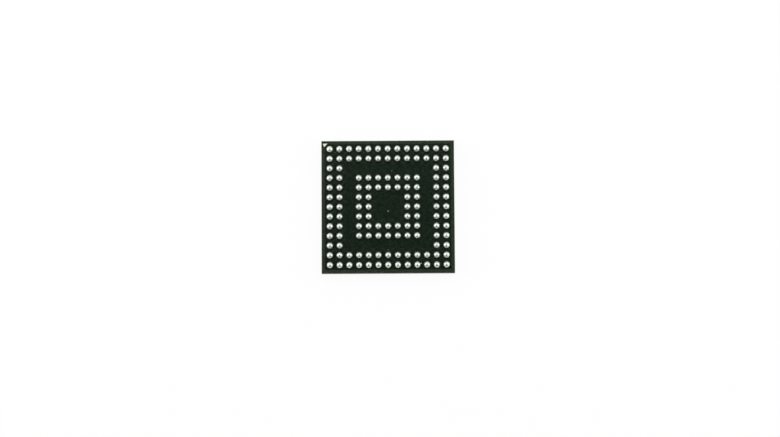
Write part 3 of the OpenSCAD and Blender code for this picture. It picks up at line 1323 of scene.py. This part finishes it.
@dataclass
class Studio:
    """The floor, the light and the camera, in metres and degrees. The sensor is in millimetres.

    The lean is how far the camera stands from straight above, towards +X and towards -Y.
    """

    field_of_view: float = 29.6
    sensor_width: float = 36.0
    clip_start: float = 0.001
    distance: float = 0.122
    lean: tuple[float, float] = (0.55, 4.31)
    roll: float = 0.326
    aim: Point = (0.000162, -0.000974)
    floor_size: float = 2.0
    floor_glow: float = 0.93
    floor_grey: float = 0.08
    ambient: float = 1.0
    lamps: tuple[Lamp, ...] = (
        Lamp("far_softbox", place=(-0.06, 0.30, 0.28), power=0.14),
        Lamp("left_softbox", place=(-0.34, 0.06, 0.20), power=0.25),
        Lamp("right_softbox", place=(0.34, 0.06, 0.20), power=0.22),
    )
    cards: tuple[Card, ...] = (
        Card("overhead_card", level=0.02, fall=(0.0, 20.0), way=(-180.0, 180.0), radius=0.20),
        Card("operator_card", level=0.14, fall=(20.0, 44.0), way=(-26.0, 26.0), radius=0.20),
        Card("near_wall_card", level=0.34, fall=(20.0, 88.0), way=(-52.0, 52.0), radius=0.24),
        Card("far_wall_card", level=0.50, fall=(62.0, 89.0), way=(136.0, 224.0), radius=0.50),
    )

    def camera(self, target_z: float) -> None:
        """Places the camera over the chip, leaning a little towards its near edge.

        Args:
            target_z: the height that it aims at.
        """
        data = bpy.data.cameras.new("camera")
        data.sensor_width = self.sensor_width
        data.angle = math.radians(self.field_of_view)
        data.clip_start = self.clip_start
        camera = add_object("camera", data)
        right, near = (math.tan(math.radians(v)) for v in self.lean)
        back = Vector((right, -near, 1.0)).normalized()
        across = Vector((0, 1, 0)).cross(back).normalized()
        turn = Matrix((across, back.cross(across), back)).transposed().to_4x4()
        place = Matrix.Translation(Vector((*self.aim, target_z)) + back * self.distance)
        camera.matrix_world = place @ turn @ Matrix.Rotation(math.radians(-self.roll), 4, "Z")
        bpy.context.scene.camera = camera

    def floor(self) -> None:
        """Lays the white floor, which keeps a faint shadow of the chip."""
        half = self.floor_size / 2
        mesh = bpy.data.meshes.new("floor")
        corners = [(-half, -half, 0), (half, -half, 0), (half, half, 0), (-half, half, 0)]
        mesh.from_pydata(corners, [], [(0, 1, 2, 3)])
        g = ShaderGraph("floor_white")
        paint = g.add("ShaderNodeBsdfDiffuse", {"Color": (*(self.floor_grey,) * 3, 1.0)})
        glow = g.add("ShaderNodeMath", {0: self._seen(g.tree), 1: self.floor_glow}, operation="MULTIPLY")
        light = g.add("ShaderNodeEmission", {"Strength": glow.outputs[0]})
        both = g.add("ShaderNodeAddShader", {0: paint.outputs[0], 1: light.outputs[0]})
        g.cover(both.outputs[0])
        mesh.materials.append(g.material)
        add_object("floor", mesh)

    @staticmethod
    def _seen(tree: bpy.types.NodeTree) -> bpy.types.NodeSocket:
        """A light path value for what shows as white.

        Args:
            tree: the node tree that it is for.

        Returns:
            The socket, 1 for what the camera sees, straight, mirrored or through glass.
        """
        rays = tree.nodes.new("ShaderNodeLightPath").outputs
        total = rays["Is Camera Ray"]
        for name in ("Is Glossy Ray", "Is Transmission Ray"):
            either = tree.nodes.new("ShaderNodeMath")
            either.operation = "MAXIMUM"
            tree.links.new(total, either.inputs[0])
            tree.links.new(rays[name], either.inputs[1])
            total = either.outputs[0]
        return total

    def world(self) -> None:
        """Sets an even white surround: 1 to the camera, and the ambient level as light."""
        world = bpy.data.worlds.new("surround")
        world.use_nodes = True
        tree = world.node_tree
        tree.nodes.clear()
        output = tree.nodes.new("ShaderNodeOutputWorld")
        back = tree.nodes.new("ShaderNodeBackground")
        back.inputs["Color"].default_value = (1, 1, 1, 1)
        level = tree.nodes.new("ShaderNodeMapRange")
        level.inputs["To Min"].default_value = self.ambient
        level.inputs["To Max"].default_value = 1.0
        tree.links.new(self._seen(tree), level.inputs["Value"])
        tree.links.new(level.outputs[0], back.inputs["Strength"])
        tree.links.new(back.outputs[0], output.inputs["Surface"])
        bpy.context.scene.world = world

    def build(self, target_z: float) -> None:
        """Sets up the whole studio.

        Args:
            target_z: the height that the camera aims at.
        """
        self.camera(target_z)
        self.floor()
        self.world()
        for hung in (*self.lamps, *self.cards):
            hung.build()


# ---------------------------------------------------------------- putting it together


@dataclass
class ChipFinishes:
    """The finishes of the chip, apart from its printed mask's."""

    solder: MetalFinish = MetalFinish(
        "solder_reflowed",
        dark=(0.74, 0.79, 0.73),
        light=(0.85, 0.90, 0.835),
        roughness=(0.28, 0.40),
        grain_per_mm=16.0,
        depth_mm=0.0015,
    )
    # The corner mark's gold is partly painted reflection: its near-white, matte colour stands in for the
    # lamps mirrored in bare gold, over its own yellow.
    gold_with_painted_reflection: MetalFinish = MetalFinish(
        "gold_plated_bare_painted_reflection",
        dark=(0.96, 0.99, 0.71),
        light=(0.99, 1.0, 0.79),
        roughness=(0.5, 0.65),
        metallic=0.0,
    )
    spot_gold: MetalFinish = MetalFinish(
        "gold_plated_dull",
        dark=(0.42, 0.44, 0.36),
        light=(0.54, 0.56, 0.46),
        roughness=(0.5, 0.65),
        metallic=0.0,
    )
    flux: MetalFinish = MetalFinish(
        "flux_dried",
        dark=(0.050, 0.056, 0.046),
        light=(0.085, 0.092, 0.078),
        roughness=(0.5, 0.7),
        grain_per_mm=30.0,
        metallic=0.0,
    )
    copper: MetalFinish = MetalFinish(
        "copper_etched", dark=(0.70, 0.36, 0.22), light=(0.86, 0.50, 0.32), roughness=(0.35, 0.5)
    )
    wire: MetalFinish = MetalFinish(
        "gold_wire_drawn", dark=(0.88, 0.66, 0.25), light=(0.96, 0.78, 0.38), roughness=(0.18, 0.28)
    )
    pads: MetalFinish = MetalFinish(
        "pad_aluminium_bare", dark=(0.78, 0.78, 0.80), light=(0.88, 0.88, 0.9), roughness=(0.2, 0.35)
    )
    silicon: MetalFinish = MetalFinish(
        "silicon_ground",
        dark=(0.20, 0.21, 0.25),
        light=(0.30, 0.31, 0.36),
        roughness=(0.12, 0.3),
        grain_per_mm=12.0,
        depth_mm=0.001,
        metallic=0.7,
    )
    epoxy: MetalFinish = MetalFinish(
        "die_attach_silver_filled",
        dark=(0.5, 0.48, 0.43),
        light=(0.66, 0.64, 0.58),
        roughness=(0.4, 0.6),
        grain_per_mm=18.0,
        metallic=0.35,
    )
    mould: MouldFinish = MouldFinish()
    laminate: LaminateFinish = LaminateFinish()

    def dress_frame(self) -> None:
        """Gives each frame node that stays its own finish."""
        worn = {
            self.mould: ["mold_cap"],
            self.laminate: ["substrate_core"],
            Coat.LAMINATE.value: ["die_side_solder_mask"],
            self.copper: ["die_side_copper", "ball_side_copper", "via_barrels"],
            self.gold_with_painted_reflection: ["corner_mark"],
            self.spot_gold: ["test_spot"],
            self.wire: [f"bond_wires_{side.name.lower()}" for side in Side],
            self.pads: ["die_bond_pads"],
            self.silicon: ["silicon_die"],
            self.epoxy: ["die_attach"],
        }
        for finish, nodes in worn.items():
            material = finish.material()
            for node in nodes:
                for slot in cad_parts[node].material_slots:
                    slot.material = material
                log.info("%s wears %s", node, finish.name)


def main() -> None:
    """Builds the chip and the studio round it."""
    logging.basicConfig(level=logging.INFO, format="%(message)s")
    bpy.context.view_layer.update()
    sizes = PackageSizes.read()
    grid = BallGrid()
    finishes = ChipFinishes()

    mask = SolderMask(sizes, grid)
    pieces = [mask.build()]
    solder = finishes.solder.material()
    pieces += SolderBalls(sizes, grid).build(solder)
    pieces += ReflowTraces(mask).build(solder, finishes.flux.material())
    for piece in pieces:
        log.info("%s: %d faces", piece.name, len(piece.data.polygons))

    finishes.dress_frame()
    Studio().build(sizes.mask_top * MM)
    bpy.context.scene.view_settings.view_transform = "Standard"


if __name__ == "__main__":
    main()
